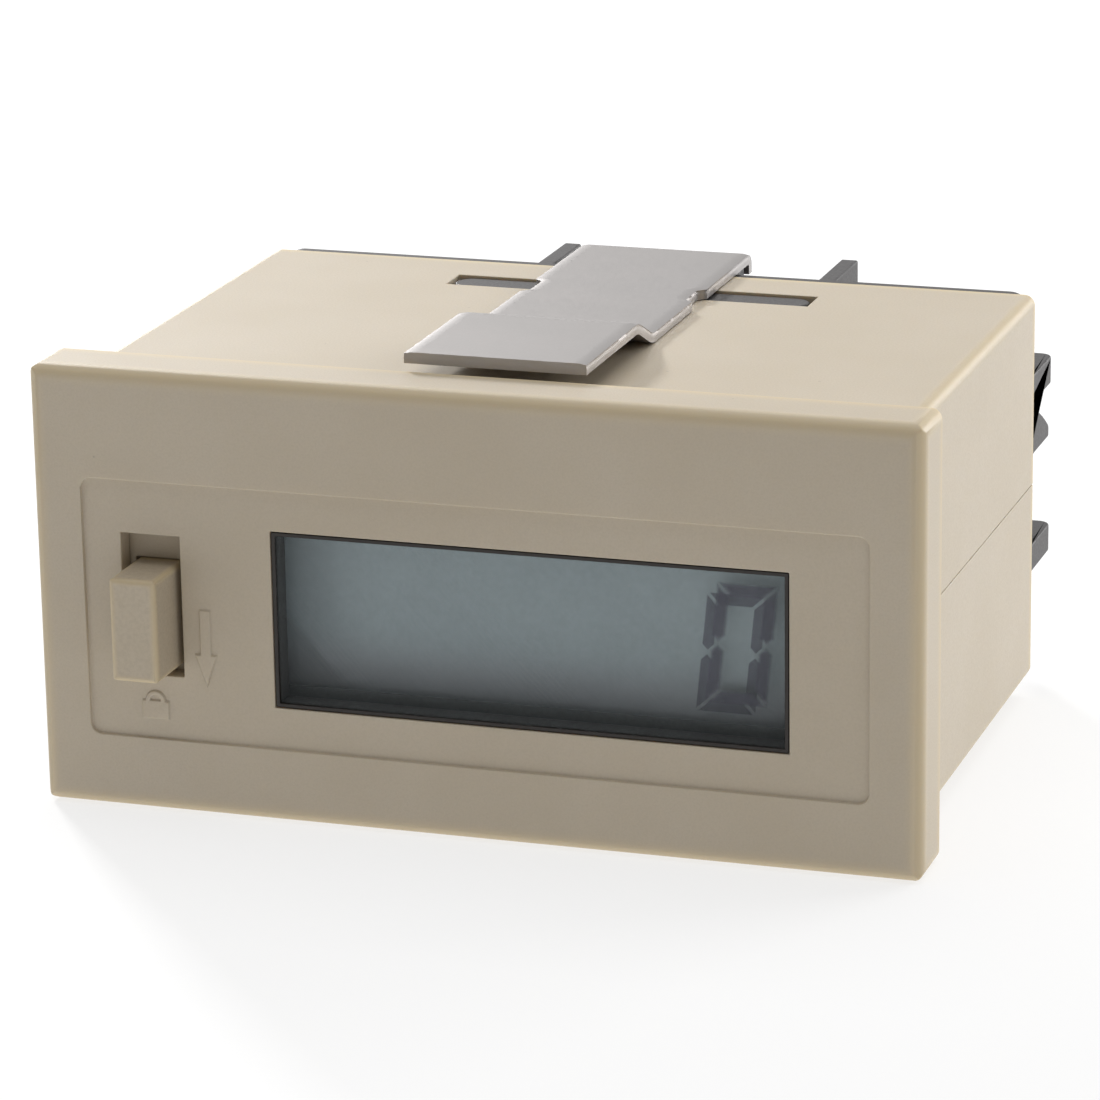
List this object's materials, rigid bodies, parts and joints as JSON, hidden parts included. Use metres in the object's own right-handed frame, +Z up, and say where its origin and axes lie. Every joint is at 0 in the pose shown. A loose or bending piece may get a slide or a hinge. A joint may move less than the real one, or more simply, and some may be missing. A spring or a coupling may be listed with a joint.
{
  "type": "panel-mounted pulse counter",
  "caption": "Small panel-mounted pulse counter: beige case, digit display, sliding reset key, steel spring clip on top and dark grey rear block with barrier ribs and screw terminals.",
  "frame": {"origin": "centre of the front frame's rear face, the plane that seats on the panel", "axes": "+X to the right seen from the front, +Y from the front through the panel to the terminals, +Z up"},
  "size_m": [0.048, 0.04, 0.0248],
  "materials": {
    "case_plastic": "warm beige moulded ABS with a fine satin surface",
    "key_plastic": "warm beige moulded ABS, slightly darker than the case",
    "terminal_plastic": "dark grey glass-filled moulding, matte",
    "clear_plastic": "clear polycarbonate, polished",
    "mask_plastic": "black moulding, matte",
    "polariser_film": "grey polarising film",
    "display_glass": "thin soda-lime display glass",
    "glass_sealant": "grey epoxy sealant",
    "segment_ink": "dark violet-grey liquid crystal segments",
    "mirror_film": "grey-green transflective film",
    "strip_rubber": "layered conductive elastomer",
    "holder_plastic": "white moulding",
    "board_laminate": "green glass-epoxy laminate with solder mask",
    "gold_plating": "gold-plated copper",
    "chip_resin": "black moulding resin",
    "can_metal": "drawn nickel-plated can",
    "capacitor_ceramic": "tan fired ceramic with tinned ends",
    "resistor_ceramic": "black glazed ceramic with tinned ends",
    "cell_sleeve": "blue shrink sleeve over a steel can",
    "nickel_strip": "nickel strip",
    "lead_sleeve": "red PVC insulation",
    "pad_silicone": "grey silicone rubber",
    "carbon_rubber": "black carbon-filled rubber",
    "clip_steel": "satin spring steel with sheared edges",
    "terminal_brass": "tin-brushed brass",
    "screw_steel": "zinc-plated steel"
  },
  "bodies": {
    "root": {"front_bezel": "case_plastic", "upper_case": "case_plastic", "lower_case": "case_plastic", "terminal_block": "terminal_plastic", "window_lens": "clear_plastic", "display_mask": "mask_plastic", "front_polariser": "polariser_film", "front_glass": "display_glass", "glass_seal": "glass_sealant", "digit_segments": "segment_ink", "rear_glass": "display_glass", "rear_polariser": "mirror_film", "upper_contact_strip": "strip_rubber", "lower_contact_strip": "strip_rubber", "display_holder": "holder_plastic", "circuit_board": "board_laminate", "reset_pads": "gold_plating", "counter_chip": "chip_resin", "input_isolator": "chip_resin", "crystal": "can_metal", "chip_capacitors": "capacitor_ceramic", "chip_resistors": "resistor_ceramic", "lithium_cell": "cell_sleeve", "plus_tab": "nickel_strip", "minus_tab": "nickel_strip", "input_leads": "lead_sleeve", "contact_plate_1": "terminal_brass", "contact_plate_2": "terminal_brass", "contact_plate_3": "terminal_brass", "contact_plate_4": "terminal_brass"},
    "carrier": {"key_carrier": "case_plastic", "key_pad": "pad_silicone"},
    "key": {"reset_key": "key_plastic", "contact_pill": "carbon_rubber"},
    "clip": {"mounting_clip": "clip_steel"},
    "washer_1": {"clamp_washer_1": "screw_steel"},
    "screw_1": {"terminal_screw_1": "screw_steel"},
    "washer_2": {"clamp_washer_2": "screw_steel"},
    "screw_2": {"terminal_screw_2": "screw_steel"},
    "washer_3": {"clamp_washer_3": "screw_steel"},
    "screw_3": {"terminal_screw_3": "screw_steel"},
    "washer_4": {"clamp_washer_4": "screw_steel"},
    "screw_4": {"terminal_screw_4": "screw_steel"}
  },
  "joints": [
    {"name": "key_lock_slide", "type": "slide", "parent": "root", "child": "carrier", "axis": [0, 0, 1], "range_m": [0, 0.0014]},
    {"name": "key_press", "type": "slide", "parent": "carrier", "child": "key", "axis": [0, 1, 0], "range_m": [0, 0.001], "stiffness_N_per_m": 800, "springref_m": -0.001, "deforming": ["key_pad"]},
    {"name": "clip_lift", "type": "slide", "parent": "root", "child": "clip", "axis": [0, 0, 1], "range_m": [0, 0.012]},
    {"name": "washer_1_lift", "type": "slide", "parent": "root", "child": "washer_1", "axis": [0, 1, 0], "range_m": [0, 0.0015]},
    {"name": "screw_1_turn", "type": "hinge", "parent": "washer_1", "child": "screw_1", "pos_m": [-0.01033, 0.0304, 0], "axis": [0, 1, 0], "range_deg": [-1200, 0]},
    {"name": "washer_2_lift", "type": "slide", "parent": "root", "child": "washer_2", "axis": [0, 1, 0], "range_m": [0, 0.0015]},
    {"name": "screw_2_turn", "type": "hinge", "parent": "washer_2", "child": "screw_2", "pos_m": [-0.00208, 0.0304, 0], "axis": [0, 1, 0], "range_deg": [-1200, 0]},
    {"name": "washer_3_lift", "type": "slide", "parent": "root", "child": "washer_3", "axis": [0, 1, 0], "range_m": [0, 0.0015]},
    {"name": "screw_3_turn", "type": "hinge", "parent": "washer_3", "child": "screw_3", "pos_m": [0.00617, 0.0304, 0], "axis": [0, 1, 0], "range_deg": [-1200, 0]},
    {"name": "washer_4_lift", "type": "slide", "parent": "root", "child": "washer_4", "axis": [0, 1, 0], "range_m": [0, 0.0015]},
    {"name": "screw_4_turn", "type": "hinge", "parent": "washer_4", "child": "screw_4", "pos_m": [0.01443, 0.0304, 0], "axis": [0, 1, 0], "range_deg": [-1200, 0]}
  ],
  "couplings": [
    {"joint": "screw_1_turn", "follows": "washer_1_lift", "rad_per_m": -13963},
    {"joint": "screw_2_turn", "follows": "washer_2_lift", "rad_per_m": -13963},
    {"joint": "screw_3_turn", "follows": "washer_3_lift", "rad_per_m": -13963},
    {"joint": "screw_4_turn", "follows": "washer_4_lift", "rad_per_m": -13963}
  ]
}
